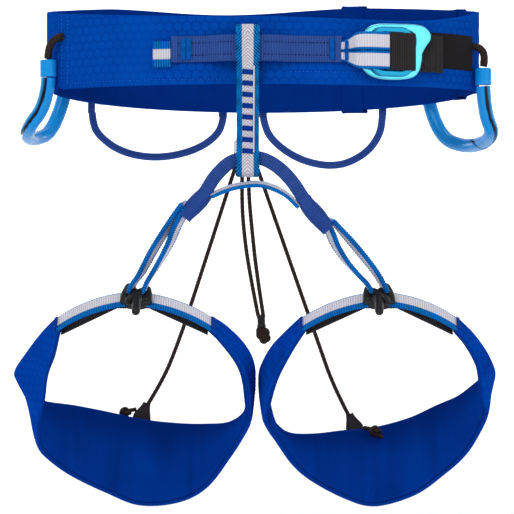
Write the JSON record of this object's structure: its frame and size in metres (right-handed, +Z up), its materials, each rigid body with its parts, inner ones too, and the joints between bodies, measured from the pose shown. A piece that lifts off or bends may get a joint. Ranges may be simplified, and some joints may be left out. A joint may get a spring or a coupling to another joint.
{
  "type": "climbing harness",
  "caption": "Sport climbing harness with padded belt, buckle, belay loop, bridge, two padded leg loops, gear loops and rear elastics.",
  "frame": {"origin": "middle of the waist opening, on the mid-plane between the two leg loops", "axes": "+Z up towards the wearer's head, -Y out of the belay-loop side, +X towards the buckle"},
  "size_m": [0.3342, 0.1807, 0.3589],
  "materials": {
    "belt_fabric": "matte honeycomb-embossed polyester",
    "lining_fabric": "smooth brushed polyester lining",
    "foam": "closed-cell foam with webbing inside",
    "slate_webbing": "ribbed woven nylon webbing",
    "blue_white_tape": "two-colour woven nylon tape, white face and blue edges",
    "black_webbing": "ribbed woven polyester webbing",
    "stitching": "dense bar-tack stitching",
    "anodised_light": "light blue anodised forged aluminium",
    "anodised_dark": "blue anodised forged aluminium",
    "gear_plastic": "smooth moulded plastic tube",
    "black_cord": "braided cord sheath",
    "black_rubber": "moulded rubber",
    "clip_plastic": "moulded acetal"
  },
  "bodies": {
    "belt": {"belt_liner": "lining_fabric", "belt_core": "foam", "right_front_panel": "belt_fabric", "long_front_panel": "belt_fabric", "back_outer_shell": "belt_fabric", "strap_patch": "black_webbing", "belt_keeper_bands": "lining_fabric", "rear_gear_anchors": "slate_webbing", "front_gear_anchor_left": "slate_webbing", "front_gear_anchor_right": "slate_webbing", "tie_in_strap": "slate_webbing", "tie_in_end_tape": "blue_white_tape", "tie_in_bartacks": "stitching", "bridge_arch": "slate_webbing", "bridge_lower_tape": "blue_white_tape", "bridge_sleeve_left": "slate_webbing", "bridge_sleeve_right": "slate_webbing", "riser_left": "blue_white_tape", "riser_right": "blue_white_tape", "buckle_frame": "anodised_light", "buckle_tape": "blue_white_tape", "buckle_webbing": "black_webbing", "elastic_hanger": "black_webbing", "elastic_clip": "clip_plastic", "elastic_left": "black_cord", "elastic_right": "black_cord", "front_gear_cord_left": "black_cord", "front_gear_cord_right": "black_cord"},
    "buckle_slider": {"buckle_slider": "anodised_dark"},
    "belay_loop": {"belay_loop": "blue_white_tape", "belay_stitch_bars": "stitching"},
    "elastic_tails": {"elastic_tail_left": "black_cord", "elastic_tail_right": "black_cord", "tail_sleeve": "black_webbing", "tail_knot": "black_cord"},
    "front_gear_left": {"front_gear_loop_left": "gear_plastic", "front_gear_sleeve_left": "gear_plastic"},
    "rear_gear_left": {"rear_gear_loop_left": "slate_webbing"},
    "leg_loop_left": {"leg_liner_left": "lining_fabric", "leg_shell_left": "belt_fabric", "leg_tape_left": "blue_white_tape", "leg_strap_left": "black_webbing", "leg_bartacks_left": "stitching", "leg_keeper_left": "black_rubber", "elastic_tab_left": "black_webbing", "elastic_knot_left": "black_cord"},
    "front_gear_right": {"front_gear_loop_right": "gear_plastic", "front_gear_sleeve_right": "gear_plastic"},
    "rear_gear_right": {"rear_gear_loop_right": "slate_webbing"},
    "leg_loop_right": {"leg_liner_right": "lining_fabric", "leg_shell_right": "belt_fabric", "leg_tape_right": "blue_white_tape", "leg_strap_right": "black_webbing", "leg_bartacks_right": "stitching", "leg_keeper_right": "black_rubber", "elastic_tab_right": "black_webbing", "elastic_knot_right": "black_cord"}
  },
  "joints": [
    {"name": "belay_loop_slide", "type": "slide", "parent": "belt", "child": "belay_loop", "axis": [1, 0, 0], "range_m": [-0.0045, 0.0045]},
    {"name": "buckle_slider_slide", "type": "slide", "parent": "belt", "child": "buckle_slider", "axis": [0.9367, 0.3502, 0], "range_m": [-0.001, 0.003]},
    {"name": "front_gear_left_hinge", "type": "hinge", "parent": "belt", "child": "front_gear_left", "pos_m": [-0.1434, -0.03, -0.008], "axis": [0.0903, 0.9683, -0.233], "range_deg": [0, 60], "stiffness_Nm_per_rad": 0.05, "deforming": ["front_gear_cord_left"]},
    {"name": "front_gear_right_hinge", "type": "hinge", "parent": "belt", "child": "front_gear_right", "pos_m": [0.1563, -0.022, -0.013], "axis": [0.3803, -0.916, 0.1275], "range_deg": [0, 60], "stiffness_Nm_per_rad": 0.05, "deforming": ["front_gear_cord_right"]},
    {"name": "rear_gear_left_hinge", "type": "hinge", "parent": "belt", "child": "rear_gear_left", "pos_m": [-0.119, 0.0526, -0.041], "axis": [0.9576, 0.2881, -0.0081], "range_deg": [0, 60], "stiffness_Nm_per_rad": 0.01},
    {"name": "rear_gear_right_hinge", "type": "hinge", "parent": "belt", "child": "rear_gear_right", "pos_m": [0.0044, 0.0824, -0.0418], "axis": [0.9835, -0.1809, -0.0023], "range_deg": [0, 60], "stiffness_Nm_per_rad": 0.01},
    {"name": "leg_left_hinge", "type": "hinge", "parent": "belt", "child": "leg_loop_left", "pos_m": [-0.0834, -0.06035, -0.17177], "axis": [1, 0, 0], "range_deg": [-30, 35], "stiffness_Nm_per_rad": 3, "deforming": ["elastic_left"]},
    {"name": "leg_right_hinge", "type": "hinge", "parent": "belt", "child": "leg_loop_right", "pos_m": [0.0834, -0.06035, -0.17177], "axis": [1, 0, 0], "range_deg": [-30, 35], "stiffness_Nm_per_rad": 3, "deforming": ["elastic_right"]},
    {"name": "tails_hinge", "type": "hinge", "parent": "belt", "child": "elastic_tails", "pos_m": [-0.0086, 0.08, -0.071], "axis": [1, 0, 0], "range_deg": [-12, 30]}
  ]
}
